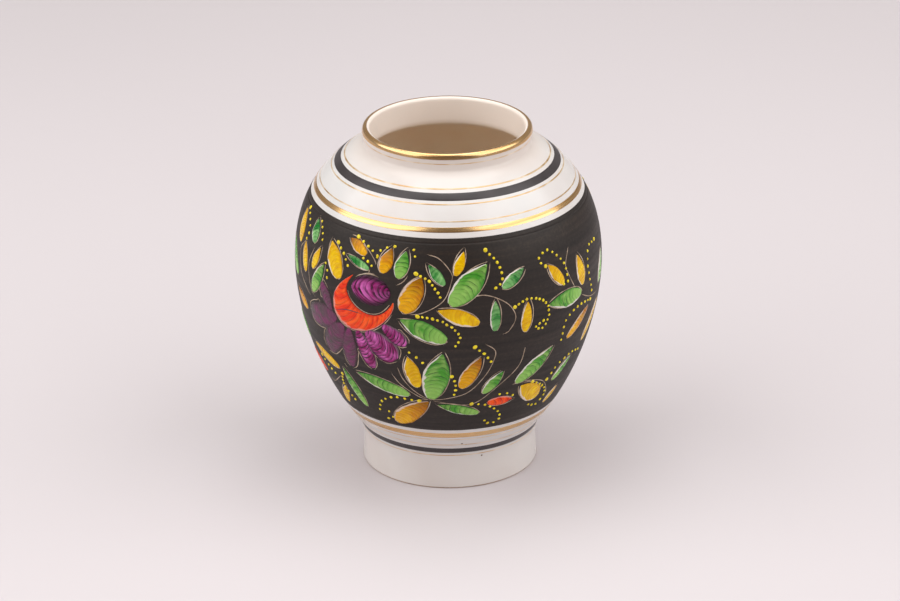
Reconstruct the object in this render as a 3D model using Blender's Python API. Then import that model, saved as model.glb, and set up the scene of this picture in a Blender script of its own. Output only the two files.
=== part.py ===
"""A hand-decorated glazed vase: one thrown pot, and every layer laid on it as its own piece.

Run with: blender --background --python part.py
The pot stands on Z = 0 with its axis on Z. The front of the painting faces -Y.
Sizes below are in millimetres; the meshes are made in metres.
"""

import math

import bmesh
import bpy

MM = 0.001

# The pot: its outline, from the foot up.
HEIGHT = 180.0
FOOT_RADIUS = 44.6
FOOT_WAIST_RADIUS = 44.1
FOOT_WAIST_HEIGHT = 13.0
FLARE_HEIGHT = 26.0
FLARE_RADIUS = 48.4
BELLY_HEIGHT = 108.0
BELLY_RADIUS = 77.4
SHOULDER_DROP = 12.0
SHOULDER_RADIUS = 48.0
NECK_DROP = 8.0
NECK_RADIUS = 42.0
LIP_RADIUS = 42.4
LIP_THICKNESS = 3.6

# How full the two halves of the belly are: 2 would be an ellipse.
LOWER_FULLNESS = 1.75
UPPER_FULLNESS = 2.3

# The wall, the floor and the ring it stands on.
WALL = 4.0
FLOOR = 6.0
FOOT_RING_WIDTH = 5.0
FOOT_RING_HEIGHT = 9.0
EDGE_ROUND = 0.6
INNER_NECK_DROP = 13.5

# The layers, and the clearance that keeps every two pieces apart.
GAP = 0.3
SLIP_THICKNESS = 0.5
RIM_GOLD_THICKNESS = 0.4
LINE_THICKNESS = 0.3
ENAMEL_THICKNESS = 0.6
ENAMEL_EDGE = 0.3

# The black band runs from a height above the foot to a drop below the rim.
BAND_BOTTOM = 38.0
BAND_TOP_DROP = 33.2
RIM_GOLD_DROP = 2.6
# The gold climbs the outside of the lip and ends this many degrees round it, past its crest.
RIM_GOLD_TURN = 102.0

LINE_WIDTH = 0.6
# Rings on the shoulder: name, glaze, drop of the ring's middle below the rim, width.
SHOULDER_RINGS = [
    ("neck_gold_line", "gold_lustre", 5.1, LINE_WIDTH),
    ("shoulder_gold_line_upper", "gold_lustre", 14.3, LINE_WIDTH),
    ("shoulder_black_ring", "black_enamel", 17.1, 2.8),
    ("shoulder_gold_line_middle", "gold_lustre", 19.8, LINE_WIDTH),
    ("shoulder_gold_line_lower", "gold_lustre", 26.4, LINE_WIDTH),
    ("shoulder_gold_band", "gold_lustre", 29.8, 2.2),
]
# Rings on the foot: name, glaze, height of the ring's middle, width.
FOOT_RINGS = [
    ("foot_gold_band", "gold_lustre", 34.0, 3.4),
    ("foot_gold_line_upper", "gold_lustre", 30.6, LINE_WIDTH),
    ("foot_gold_line_middle", "gold_lustre", 26.2, LINE_WIDTH),
    ("foot_black_ring", "black_enamel", 21.8, 3.2),
    ("foot_gold_line_lower", "gold_lustre", 18.6, LINE_WIDTH),
]

# The painting is drawn on a field this tall, and is stretched to the black band.
# A place on it is an azimuth in degrees from the front, positive towards +X, and a rise
# above the band's lower edge.
FIELD_HEIGHT = 109.0
FIELD_RADIUS = 77.4

# Leaves: azimuth and rise of the tip, azimuth and rise of the root, breadth.
LEAVES = {
    "yellow": [
        (-57, 93, -61, 81, 5),
        (-51, 99, -44.5, 82.5, 10),
        (6, 103, 2.5, 92, 5),
        (-4, 74.5, 11, 67, 8),
        (40, 90, 47, 78, 6),
        (56.5, 88.5, 59, 72, 7),
        (30, 74.5, 29, 58.5, 6),
        (-68, 36.5, -51.5, 29.5, 6),
        (-52.5, 18, -59, 5, 5),
        (-16, 47.5, -13, 29.5, 8),
        (31, 25.5, 42.5, 14.5, 11),
        (56.5, 15, 50.5, 7, 4),
    ],
    "green": [
        (-64, 104.5, -62, 93.5, 7),
        (-53.5, 86, -60.5, 69, 7),
        (-41, 95.5, -31, 91.5, 4),
        (-16.5, 102.5, -19, 89.5, 7),
        (-7.5, 97, -1.5, 87.5, 5),
        (14.5, 96.5, 0.5, 77.5, 12),
        (-18, 68.5, -1, 58, 10),
        (29, 92, 20, 84, 6),
        (39.5, 69.5, 58, 68.5, 9),
        (17, 78, 17, 62, 5.5),
        (-48.5, 30.5, -42, 9, 6),
        (-40, 31.5, -17, 24, 8),
        (-2.5, 50.5, -8, 22.5, 13),
        (21.5, 37.5, 14, 25, 6),
        (-5, 18.5, 13, 12, 6),
        (43.5, 44.5, 28, 28.5, 9),
        (58.5, 32, 49.5, 21.5, 5),
    ],
    "ochre": [
        (-41.5, 103.5, -33, 98, 6),
        (-22.5, 103, -25.5, 91, 7),
        (-10, 91, -17, 72.5, 11),
        (65, 57.5, 51.5, 46, 6),
        (-9, 20.5, -26.5, 3.5, 11),
        (12, 47.5, 4.5, 29.5, 8),
    ],
    "red": [
        (28, 18.5, 16.5, 18.5, 6),
    ],
}

# The outer petals of the rose, written as the leaves are.
ROSE_PETALS = [
    ("rose_petal_upper_left", -53, 77.5, -49.5, 65.5, 5.5),
    ("rose_petal_left", -64, 53.5, -49.5, 62.5, 11),
    ("rose_petal_lower_left", -54.5, 39.5, -45.5, 56, 10),
    ("rose_petal_bottom", -42, 36, -40, 56, 8),
    ("rose_petal_bottom_slim", -30.5, 40.5, -36, 54, 5),
    ("rose_petal_lower_right", -19.5, 50.5, -30.5, 52.5, 13),
    ("rose_petal_right", -16, 54.5, -22.5, 63, 5),
]
# The heart of the rose is an oval, and its cup is the crescent between two ovals. They are
# written from one middle: how far each lies to the right and above it, half length, half height.
ROSE_MIDDLE = (-34.0, 72.8)
ROSE_HEART = (5.7, 8.2, 10.7, 7.4)
ROSE_CUP_OUTER = (0.0, 0.0, 17.2, 14.7)
ROSE_CUP_INNER = (5.4, 6.2, 12.2, 10.2)
# First and last angle of the crescent, round the outer and round the inner oval.
ROSE_CUP_OUTER_ARC = (105.0, 371.0)
ROSE_CUP_INNER_ARC = (128.0, 345.0)

LEAF_SECTIONS = 7
CUP_SECTIONS = 15
HEART_SECTIONS = 9
LEAF_SKEW = 0.8
LEAF_FULLNESS = 0.75
PETAL_SKEW = 1.0
PETAL_FULLNESS = 0.6

TURNS = 40

# Worked out from the sizes above.
BAND_TOP = HEIGHT - BAND_TOP_DROP
RIM_GOLD_EDGE = HEIGHT - RIM_GOLD_DROP
SHOULDER_HEIGHT = HEIGHT - SHOULDER_DROP
NECK_HEIGHT = HEIGHT - NECK_DROP
LIP_CENTRE_HEIGHT = HEIGHT - LIP_THICKNESS / 2
LIP_CENTRE_RADIUS = LIP_RADIUS - LIP_THICKNESS / 2
INNER_NECK_RADIUS = LIP_RADIUS - LIP_THICKNESS
FLOOR_TOP = FOOT_RING_HEIGHT + FLOOR
FIELD_STRETCH = (BAND_TOP - BAND_BOTTOM) / FIELD_HEIGHT
# Breadths shrink with whichever of the band's height and girth shrinks more.
BREADTH_SCALE = min(FIELD_STRETCH, BELLY_RADIUS / FIELD_RADIUS)

# Colour, roughness and metallic value of each finish.
FINISHES = {
    "white_glaze": ((0.86, 0.82, 0.79), 0.12, 0.0),
    "black_slip": ((0.035, 0.030, 0.027), 0.55, 0.0),
    "black_enamel": ((0.040, 0.034, 0.034), 0.25, 0.0),
    "gold_lustre": ((0.80, 0.52, 0.20), 0.22, 1.0),
    "yellow_glaze": ((0.80, 0.52, 0.01), 0.15, 0.0),
    "green_glaze": ((0.22, 0.46, 0.13), 0.15, 0.0),
    "ochre_glaze": ((0.66, 0.30, 0.02), 0.15, 0.0),
    "red_glaze": ((0.80, 0.12, 0.04), 0.15, 0.0),
    "purple_glaze": ((0.26, 0.03, 0.20), 0.15, 0.0),
}


def belly_reach(height, radius, fullness):
    """How far from the belly's middle its curve would meet the axis, if it passes this point."""
    rise = abs(height - BELLY_HEIGHT)
    share = 1.0 - (radius / BELLY_RADIUS) ** fullness
    return rise / share ** (1.0 / fullness)


LOWER_REACH = belly_reach(FLARE_HEIGHT, FLARE_RADIUS, LOWER_FULLNESS)
UPPER_REACH = belly_reach(SHOULDER_HEIGHT, SHOULDER_RADIUS, UPPER_FULLNESS)


def belly_radius(z):
    """Radius of the belly's two superellipse quarters at height z."""
    upper = z > BELLY_HEIGHT
    reach = UPPER_REACH if upper else LOWER_REACH
    fullness = UPPER_FULLNESS if upper else LOWER_FULLNESS
    share = min(abs(z - BELLY_HEIGHT) / reach, 0.999)
    return BELLY_RADIUS * (1.0 - share**fullness) ** (1.0 / fullness)


def belly_slope(z):
    return (belly_radius(z + 0.05) - belly_radius(z - 0.05)) / 0.1


def blend(z, z0, r0, slope0, z1, r1, slope1):
    """A smooth curve from (z0, r0) to (z1, r1) with the given slope at each end."""
    span = z1 - z0
    t = (z - z0) / span
    return (
        r0 * (1 + 2 * t) * (1 - t) ** 2
        + span * slope0 * t * (1 - t) ** 2
        + r1 * t**2 * (3 - 2 * t)
        + span * slope1 * t**2 * (t - 1)
    )


def outer_radius(z):
    """Radius of the pot's outside at height z."""
    if z < FOOT_WAIST_HEIGHT:
        share = (FOOT_WAIST_HEIGHT - z) / FOOT_WAIST_HEIGHT
        return FOOT_WAIST_RADIUS + (FOOT_RADIUS - FOOT_WAIST_RADIUS) * share**2
    if z < FLARE_HEIGHT:
        return blend(
            z,
            FOOT_WAIST_HEIGHT,
            FOOT_WAIST_RADIUS,
            0.0,
            FLARE_HEIGHT,
            FLARE_RADIUS,
            belly_slope(FLARE_HEIGHT),
        )
    if z < SHOULDER_HEIGHT:
        return belly_radius(z)
    if z < NECK_HEIGHT:
        return blend(
            z,
            SHOULDER_HEIGHT,
            SHOULDER_RADIUS,
            belly_slope(SHOULDER_HEIGHT),
            NECK_HEIGHT,
            NECK_RADIUS,
            0.0,
        )
    share = min((z - NECK_HEIGHT) / (LIP_CENTRE_HEIGHT - NECK_HEIGHT), 1.0)
    return NECK_RADIUS + (LIP_RADIUS - NECK_RADIUS) * share**2


def off_surface(z, distance):
    """The (radius, height) at this distance outside the pot's surface at height z."""
    slope = (outer_radius(z + 0.05) - outer_radius(z - 0.05)) / 0.1
    length = math.hypot(1.0, slope)
    return (outer_radius(z) + distance / length, z - distance * slope / length)


def steps(start, end, count):
    return [start + (end - start) * i / count for i in range(count + 1)]


def lip_arc(radius, start, end, count=5):
    """An arc over the lip: 0 degrees is the outside of the neck and 180 its inside."""
    points = []
    for angle in steps(math.radians(start), math.radians(end), count):
        r = LIP_CENTRE_RADIUS + radius * math.cos(angle)
        points.append((r, LIP_CENTRE_HEIGHT + radius * math.sin(angle)))
    return points


def curve(start, control, end, count):
    """Points on a quadratic curve, without its two ends."""
    points = []
    for t in steps(0.0, 1.0, count)[1:-1]:
        a, b, c = (1 - t) ** 2, 2 * t * (1 - t), t**2
        points.append(tuple(a * p + b * q + c * s for p, q, s in zip(start, control, end)))
    return points


def new_piece(name, bm, finish):
    """Make an object from a bmesh, give it its finish, and shade it."""
    for vert in bm.verts:
        vert.co *= MM
    mesh = bpy.data.meshes.new(name)
    bm.to_mesh(mesh)
    bm.free()
    mesh.materials.append(finish)
    mesh.shade_smooth()
    mesh.set_sharp_from_angle(angle=math.radians(40))
    piece = bpy.data.objects.new(name, mesh)
    bpy.context.scene.collection.objects.link(piece)
    return piece


def turned(name, outline, finish, closed=True):
    """Turn an outline of (radius, height) points about Z into one closed body."""
    bm = bmesh.new()
    verts = [bm.verts.new((r, 0.0, z)) for r, z in outline]
    edges = [bm.edges.new(pair) for pair in zip(verts, verts[1:])]
    if closed:
        edges.append(bm.edges.new((verts[-1], verts[0])))
    bmesh.ops.spin(
        bm,
        geom=verts + edges,
        axis=(0, 0, 1),
        cent=(0, 0, 0),
        angle=2 * math.pi,
        steps=TURNS,
        use_merge=True,
    )
    bmesh.ops.remove_doubles(bm, verts=bm.verts, dist=0.01)
    bmesh.ops.recalc_face_normals(bm, faces=bm.faces)
    return new_piece(name, bm, finish)


def ceramic_body_outline():
    """From the middle of the underside, up the outside, over the lip and down to the floor."""
    ring_inside = FOOT_RADIUS - FOOT_RING_WIDTH
    points = [
        (0.0, FOOT_RING_HEIGHT),
        (ring_inside - 2.0, FOOT_RING_HEIGHT),
        (ring_inside, FOOT_RING_HEIGHT - 2.0),
        (ring_inside, EDGE_ROUND),
        (ring_inside + EDGE_ROUND, 0.0),
        (FOOT_RADIUS - EDGE_ROUND, 0.0),
    ]
    points += [off_surface(z, 0.0) for z in steps(EDGE_ROUND, BAND_BOTTOM - GAP, 11)]
    seat = -(SLIP_THICKNESS + GAP)
    points += [off_surface(z, seat) for z in steps(BAND_BOTTOM - GAP, BAND_TOP + GAP, 13)]
    points += [off_surface(z, 0.0) for z in steps(BAND_TOP + GAP, SHOULDER_HEIGHT, 7)]
    points += [off_surface(z, 0.0) for z in steps(SHOULDER_HEIGHT, NECK_HEIGHT, 4)[1:]]
    points.append(off_surface(RIM_GOLD_EDGE - GAP, 0.0))
    under_gold = LIP_THICKNESS / 2 - RIM_GOLD_THICKNESS
    lip_seat = under_gold - GAP
    seat_end = RIM_GOLD_TURN + math.degrees(GAP / under_gold)
    points.append((LIP_CENTRE_RADIUS + lip_seat, RIM_GOLD_EDGE - GAP))
    points += lip_arc(lip_seat, 0.0, seat_end)
    points += lip_arc(LIP_THICKNESS / 2, seat_end, 180.0)
    neck_end = (INNER_NECK_RADIUS, HEIGHT - INNER_NECK_DROP)
    under_shoulder = off_surface(SHOULDER_HEIGHT - 3.0, -WALL)
    corner = (INNER_NECK_RADIUS + 1.0, under_shoulder[1] + 1.5)
    points.append(neck_end)
    points += curve(neck_end, corner, under_shoulder, 4)
    wall_foot = FLARE_HEIGHT + 1.0
    points += [off_surface(z, -WALL) for z in steps(SHOULDER_HEIGHT - 3.0, wall_foot, 14)]
    wall_end = off_surface(wall_foot, -WALL)
    floor_edge = (wall_end[0] - 16.0, FLOOR_TOP)
    points += curve(wall_end, (wall_end[0] - 7.0, FLOOR_TOP), floor_edge, 6)
    points += [floor_edge, (0.0, FLOOR_TOP)]
    return points


def layer_outline(low, high, inner, outer, count):
    """A layer that follows the pot from height low to high, between two distances off it."""
    outside = [off_surface(z, outer) for z in steps(low, high, count)]
    inside = [off_surface(z, inner) for z in steps(high, low, count)]
    return outside + inside


def rim_gold_outline():
    outer = LIP_THICKNESS / 2
    inner = outer - RIM_GOLD_THICKNESS
    outside = [(LIP_CENTRE_RADIUS + outer, RIM_GOLD_EDGE)] + lip_arc(outer, 0.0, RIM_GOLD_TURN)
    inside = [(LIP_CENTRE_RADIUS + inner, RIM_GOLD_EDGE)] + lip_arc(inner, 0.0, RIM_GOLD_TURN)
    return outside + inside[::-1]


def on_band(azimuth, rise, distance):
    """The point of the painting at this azimuth and rise, this far off the band."""
    r, z = off_surface(BAND_BOTTOM + rise * FIELD_STRETCH, distance)
    angle = math.radians(azimuth)
    return (r * math.sin(angle), -r * math.cos(angle), z)


def field_scale(rise):
    """Millimetres per degree and per unit of rise, at this rise."""
    z = BAND_BOTTOM + rise * FIELD_STRETCH
    slope = (outer_radius(z + 0.05) - outer_radius(z - 0.05)) / 0.1
    return math.radians(outer_radius(z)), FIELD_STRETCH * math.hypot(1.0, slope)


def enamel_pad(name, sections, finish):
    """A low pad of glaze. Each section is its left edge, its middle and its right edge."""
    bm = bmesh.new()
    rows = []
    for section in sections:
        row = [bm.verts.new(on_band(a, rise, GAP)) for a, rise in section]
        tops = zip(section, (ENAMEL_EDGE, ENAMEL_THICKNESS, ENAMEL_EDGE))
        row += [bm.verts.new(on_band(a, rise, GAP + top)) for (a, rise), top in tops][::-1]
        rows.append(row)
    for row, after in zip(rows, rows[1:]):
        for i in range(6):
            j = (i + 1) % 6
            bm.faces.new((row[i], row[j], after[j], after[i]))
    bm.faces.new(rows[0])
    bm.faces.new(rows[-1])
    bmesh.ops.recalc_face_normals(bm, faces=bm.faces)
    return new_piece(name, bm, finish)


def leaf(name, tip_azimuth, tip_rise, root_azimuth, root_rise, breadth, finish, skew, fullness):
    """A pad with a round root and a narrow tip."""
    across, up = field_scale((tip_rise + root_rise) / 2)
    along = ((tip_azimuth - root_azimuth) * across, (tip_rise - root_rise) * up)
    length = math.hypot(*along)
    side = (-along[1] / length / across, along[0] / length / up)
    sections = []
    for t in steps(0.03, 0.97, LEAF_SECTIONS - 1):
        half = breadth * BREADTH_SCALE / 2 * math.sin(math.pi * t**skew) ** fullness
        azimuth = root_azimuth + (tip_azimuth - root_azimuth) * t
        rise = root_rise + (tip_rise - root_rise) * t
        sections.append([(azimuth + side[0] * half * k, rise + side[1] * half * k) for k in (1, 0, -1)])
    return enamel_pad(name, sections, finish)


def oval_point(oval, angle):
    right, above, half_length, half_height = oval
    azimuth, rise = ROSE_MIDDLE
    across, up = field_scale(rise)
    turn = math.radians(angle)
    return (
        azimuth + (right + half_length * math.cos(turn)) * BREADTH_SCALE / across,
        rise + (above + half_height * math.sin(turn)) * BREADTH_SCALE / up,
    )


def rose_heart(finish):
    sections = []
    for angle in steps(172.0, 8.0, HEART_SECTIONS - 1):
        top, bottom = oval_point(ROSE_HEART, angle), oval_point(ROSE_HEART, -angle)
        middle = ((top[0] + bottom[0]) / 2, (top[1] + bottom[1]) / 2)
        sections.append([top, middle, bottom])
    return enamel_pad("rose_heart", sections, finish)


def rose_cup(finish):
    outer_angles = steps(*ROSE_CUP_OUTER_ARC, CUP_SECTIONS - 1)
    inner_angles = steps(*ROSE_CUP_INNER_ARC, CUP_SECTIONS - 1)
    sections = []
    for outer_angle, inner_angle in zip(outer_angles, inner_angles):
        outer = oval_point(ROSE_CUP_OUTER, outer_angle)
        inner = oval_point(ROSE_CUP_INNER, inner_angle)
        middle = ((outer[0] + inner[0]) / 2, (outer[1] + inner[1]) / 2)
        sections.append([outer, middle, inner])
    return enamel_pad("rose_cup_petal", sections, finish)


def make_finishes():
    finishes = {}
    for name, (colour, roughness, metallic) in FINISHES.items():
        finish = bpy.data.materials.new(name)
        finish.use_nodes = True
        shader = finish.node_tree.nodes["Principled BSDF"]
        shader.inputs["Base Color"].default_value = (*colour, 1.0)
        shader.inputs["Roughness"].default_value = roughness
        shader.inputs["Metallic"].default_value = metallic
        finishes[name] = finish
    return finishes


def main():
    for old in list(bpy.data.objects):
        bpy.data.objects.remove(old, do_unlink=True)
    finishes = make_finishes()

    turned("ceramic_body", ceramic_body_outline(), finishes["white_glaze"], closed=False)
    band = layer_outline(BAND_BOTTOM, BAND_TOP, -SLIP_THICKNESS, 0.0, 13)
    turned("black_band", band, finishes["black_slip"])
    turned("gold_rim", rim_gold_outline(), finishes["gold_lustre"])

    rings = [(name, glaze, HEIGHT - drop, width) for name, glaze, drop, width in SHOULDER_RINGS]
    for name, glaze, middle, width in rings + FOOT_RINGS:
        low, high = middle - width / 2, middle + width / 2
        outline = layer_outline(low, high, GAP, GAP + LINE_THICKNESS, 1)
        turned(name, outline, finishes[glaze])

    purple = finishes["purple_glaze"]
    rose_cup(finishes["red_glaze"])
    rose_heart(purple)
    for name, *shape in ROSE_PETALS:
        leaf(name, *shape, purple, PETAL_SKEW, PETAL_FULLNESS)
    for colour, leaves in LEAVES.items():
        for number, shape in enumerate(leaves, start=1):
            name = f"{colour}_leaf_{number}"
            leaf(name, *shape, finishes[f"{colour}_glaze"], LEAF_SKEW, LEAF_FULLNESS)
    print(len(bpy.data.objects), "pieces")


main()
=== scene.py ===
# %% [markdown]
# # A hand-painted glazed vase
# The real object is one thrown pot with a black slip band round its belly. Flowers are laid
# on the band in thick coloured glaze, lines are scratched through it to the pale clay, and
# rings of black enamel and fired gold run round the shoulder, the lip and the foot.
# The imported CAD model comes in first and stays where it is. Everything below is built round it.

# %% Load the frame
import math
import random

import bpy
from mathutils import Matrix, Vector


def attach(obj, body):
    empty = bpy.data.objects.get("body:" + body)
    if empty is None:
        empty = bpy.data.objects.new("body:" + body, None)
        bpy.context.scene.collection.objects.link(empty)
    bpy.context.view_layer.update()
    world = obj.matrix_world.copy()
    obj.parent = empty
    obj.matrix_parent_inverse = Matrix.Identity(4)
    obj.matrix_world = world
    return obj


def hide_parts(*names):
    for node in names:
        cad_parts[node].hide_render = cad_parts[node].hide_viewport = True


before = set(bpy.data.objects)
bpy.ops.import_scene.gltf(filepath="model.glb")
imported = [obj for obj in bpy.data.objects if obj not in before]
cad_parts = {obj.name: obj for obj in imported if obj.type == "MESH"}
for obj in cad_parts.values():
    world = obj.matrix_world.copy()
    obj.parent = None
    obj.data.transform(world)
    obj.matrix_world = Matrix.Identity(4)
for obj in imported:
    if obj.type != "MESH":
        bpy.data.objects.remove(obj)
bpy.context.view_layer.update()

print("CAD nodes:", len(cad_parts))

# %% [markdown]
# The sizes are those of the CAD model, in millimetres. Blender works in metres, so a point is
# multiplied by MM when it goes into a mesh. The pot's outline is a short foot, a belly of two
# superellipse quarters, a hollow shoulder and a neck with a rounded lip.

# %% The pot's sizes
MM = 0.001
HEIGHT = 180.0
FOOT_RADIUS = 44.6
FOOT_WAIST_RADIUS, FOOT_WAIST_HEIGHT = 44.1, 13.0
FLARE_RADIUS, FLARE_HEIGHT = 48.4, 26.0
BELLY_RADIUS, BELLY_HEIGHT = 77.4, 108.0
SHOULDER_RADIUS, SHOULDER_HEIGHT = 48.0, 168.0
NECK_RADIUS, NECK_HEIGHT = 42.0, 172.0
LIP_RADIUS, LIP_THICKNESS = 42.4, 3.6
LOWER_FULLNESS, UPPER_FULLNESS = 1.75, 2.3
WALL = 4.0
FLOOR_TOP = 15.0
FOOT_RING_WIDTH, FOOT_RING_HEIGHT = 5.0, 9.0
INNER_NECK_END = 166.5
BAND_BOTTOM, BAND_TOP = 38.0, 146.8
RIM_GOLD_EDGE = 177.4
# The gold climbs the outside of the lip and ends this many degrees round it, past its crest.
RIM_GOLD_TURN = 102.0
FIELD_HEIGHT = 109.0
FIELD_STRETCH = (BAND_TOP - BAND_BOTTOM) / FIELD_HEIGHT
LIP_CENTRE_HEIGHT = HEIGHT - LIP_THICKNESS / 2
LIP_CENTRE_RADIUS = LIP_RADIUS - LIP_THICKNESS / 2
INNER_NECK_RADIUS = LIP_RADIUS - LIP_THICKNESS


# %% The pot's outline
def belly_reach(height, radius, fullness):
    """How far from the belly's middle its curve would meet the axis, if it passes this point."""
    share = 1.0 - (radius / BELLY_RADIUS) ** fullness
    return abs(height - BELLY_HEIGHT) / share ** (1.0 / fullness)


LOWER_REACH = belly_reach(FLARE_HEIGHT, FLARE_RADIUS, LOWER_FULLNESS)
UPPER_REACH = belly_reach(SHOULDER_HEIGHT, SHOULDER_RADIUS, UPPER_FULLNESS)


def belly_radius(z):
    upper = z > BELLY_HEIGHT
    reach = UPPER_REACH if upper else LOWER_REACH
    fullness = UPPER_FULLNESS if upper else LOWER_FULLNESS
    share = min(abs(z - BELLY_HEIGHT) / reach, 0.999)
    return BELLY_RADIUS * (1.0 - share**fullness) ** (1.0 / fullness)


def belly_slope(z):
    return (belly_radius(z + 0.05) - belly_radius(z - 0.05)) / 0.1


def blend(z, z0, r0, slope0, z1, r1, slope1):
    """A smooth curve from (z0, r0) to (z1, r1) with the given slope at each end."""
    span = z1 - z0
    t = (z - z0) / span
    start = r0 * (1 + 2 * t) * (1 - t) ** 2 + span * slope0 * t * (1 - t) ** 2
    return start + r1 * t**2 * (3 - 2 * t) + span * slope1 * t**2 * (t - 1)


FLARE_SLOPE = belly_slope(FLARE_HEIGHT)
SHOULDER_SLOPE = belly_slope(SHOULDER_HEIGHT)


def outer_radius(z):
    """Radius of the pot's outside at height z."""
    if z < FOOT_WAIST_HEIGHT:
        share = (FOOT_WAIST_HEIGHT - z) / FOOT_WAIST_HEIGHT
        return FOOT_WAIST_RADIUS + (FOOT_RADIUS - FOOT_WAIST_RADIUS) * share**2
    if z < FLARE_HEIGHT:
        waist = (FOOT_WAIST_HEIGHT, FOOT_WAIST_RADIUS, 0.0)
        return blend(z, *waist, FLARE_HEIGHT, FLARE_RADIUS, FLARE_SLOPE)
    if z < SHOULDER_HEIGHT:
        return belly_radius(z)
    if z < NECK_HEIGHT:
        shoulder = (SHOULDER_HEIGHT, SHOULDER_RADIUS, SHOULDER_SLOPE)
        return blend(z, *shoulder, NECK_HEIGHT, NECK_RADIUS, 0.0)
    share = min((z - NECK_HEIGHT) / (LIP_CENTRE_HEIGHT - NECK_HEIGHT), 1.0)
    return NECK_RADIUS + (LIP_RADIUS - NECK_RADIUS) * share**2


def off_surface(z, distance):
    """The (radius, height) at this distance outside the pot's surface at height z."""
    slope = (outer_radius(z + 0.05) - outer_radius(z - 0.05)) / 0.1
    length = math.hypot(1.0, slope)
    return (outer_radius(z) + distance / length, z - distance * slope / length)


def steps(start, end, count):
    return [start + (end - start) * i / count for i in range(count + 1)]


print("widest radius, mm:", round(max(outer_radius(z) for z in range(180)), 2))

# %% [markdown]
# The camera comes early, because it decides what the eye can check. It looks down at the vase
# from a little under two metres away, through a long lens, and is tipped half a degree.
# Two large soft lights stand a metre up on either side, a little in front of the vase, and a
# smaller one hangs above it and a little behind. The side of the room behind the camera stays
# dark. That is what makes fired gold read as metal: it is bright where it mirrors a light and
# brown where it mirrors the dark room.

# %% Camera
LOOK_DOWN = 23.45
CAMERA_DISTANCE = 1.905
CAMERA_TIP = -0.5
AIM = Vector((0.0006, 0.0, 0.0843))
LENS, SENSOR = 150.0, 36.0

camera_data = bpy.data.cameras.new("studio_camera")
camera_data.lens = LENS
camera_data.sensor_width = SENSOR
camera_data.clip_end = 50.0
camera = bpy.data.objects.new("studio_camera", camera_data)
bpy.context.scene.collection.objects.link(camera)
turn = Matrix.Rotation(math.radians(90 - LOOK_DOWN), 4, "X")
turn = turn @ Matrix.Rotation(math.radians(CAMERA_TIP), 4, "Z")
place = Matrix.Translation(AIM) @ turn @ Matrix.Translation((0, 0, CAMERA_DISTANCE))
camera.matrix_world = place
bpy.context.scene.camera = camera
print("camera at", [round(v, 3) for v in camera.matrix_world.translation])

# %% Soft studio lights
# The lights face a point halfway up the vase.
LIGHTS_FACE = Vector((0, 0, 0.09))
# Name, place in metres, width and depth in metres, watts.
LIGHTS = [("left_soft_light", (-1.27, -0.44, 1.08), (2.1, 1.7), 21.5), ("right_soft_light",
    (1.27, -0.44, 1.08), (2.1, 1.7), 20.5), ("top_soft_light", (0.0, 0.26, 1.65), (1.3, 1.4),
    13.0)]
for name, where, size, watts in LIGHTS:
    lamp = bpy.data.lights.new(name, "AREA")
    lamp.shape = "RECTANGLE"
    lamp.size, lamp.size_y = size
    lamp.energy = watts
    lamp.color = (1.0, 0.99, 0.98)
    light = bpy.data.objects.new(name, lamp)
    light.location = where
    light.rotation_euler = (Vector(where) - LIGHTS_FACE).to_track_quat("Z", "Y").to_euler()
    bpy.context.scene.collection.objects.link(light)

bpy.context.scene.view_settings.view_transform = "Standard"
print("lights:", len(LIGHTS))

# %% [markdown]
# Next come the helpers that every finish uses: one turns a written colour into the linear
# colour that a shader works in, and one adds a node with its settings and its links.


# %% Helpers for finishes
def linear(hex_colour):
    """Turn an sRGB hex colour into a linear one with an alpha of 1."""
    channels = [int(hex_colour[i : i + 2], 16) / 255 for i in (0, 2, 4)]
    curve = [c / 12.92 if c <= 0.04045 else ((c + 0.055) / 1.055) ** 2.4 for c in channels]
    return (*curve, 1.0)


def add_node(tree, kind, inputs=None, stops=None, **settings):
    """Add a node, set its properties and its sockets, and link the sockets given an output."""
    node = tree.nodes.new("ShaderNode" + kind)
    for key, value in settings.items():
        setattr(node, key, value)
    if stops:
        elements = node.color_ramp.elements
        first, *middle, last = stops
        elements[0].position, elements[0].color = first
        elements[1].position, elements[1].color = last
        for position, colour in middle:
            elements.new(position).color = colour
    for key, value in (inputs or {}).items():
        if isinstance(value, bpy.types.NodeSocket):
            tree.links.new(value, node.inputs[key])
        else:
            node.inputs[key].default_value = value
    return node


def new_finish(name, **values):
    """A material with its shader's uniform values set on the shader itself."""
    finish = bpy.data.materials.new(name)
    finish.use_nodes = True
    shader = finish.node_tree.nodes["Principled BSDF"]
    for key, value in values.items():
        shader.inputs[key.replace("_", " ")].default_value = value
    return finish, finish.node_tree, shader


BLACK, WHITE = (0, 0, 0, 1), (1, 1, 1, 1)
PER_METRE = 1000.0
print("linear mid grey:", round(linear("808080")[0], 3))

# %% [markdown]
# The unlit room is a dim warm grey, and darker and browner towards the front, where nothing is
# lit. The gold and the shaded sides pick it up. A room's Generated coordinate is a direction,
# so its Y runs from -1 at the front to 1 at the back.

# %% The dim room
world = bpy.data.worlds.new("dim_room")
world.use_nodes = True
tree = world.node_tree
where = add_node(tree, "TexCoord")
split = add_node(tree, "SeparateXYZ", {"Vector": where.outputs["Generated"]})
backward = add_node(tree, "MapRange", {"Value": split.outputs["Y"], "From Min": -1.0,
    "From Max": 0.2})
room = add_node(tree, "ValToRGB", {"Fac": backward.outputs["Result"]},
    stops=[(0.1, (0.16, 0.13, 0.112, 1.0)), (0.7, (0.34, 0.315, 0.3, 1.0))])
tree.links.new(room.outputs["Color"], tree.nodes["Background"].inputs["Color"])
bpy.context.scene.world = world
print("room stops:", len(room.color_ramp.elements))

# %% [markdown]
# The background is a plain pale sheet. It is one big plane, so no edge of it is in view.

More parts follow.
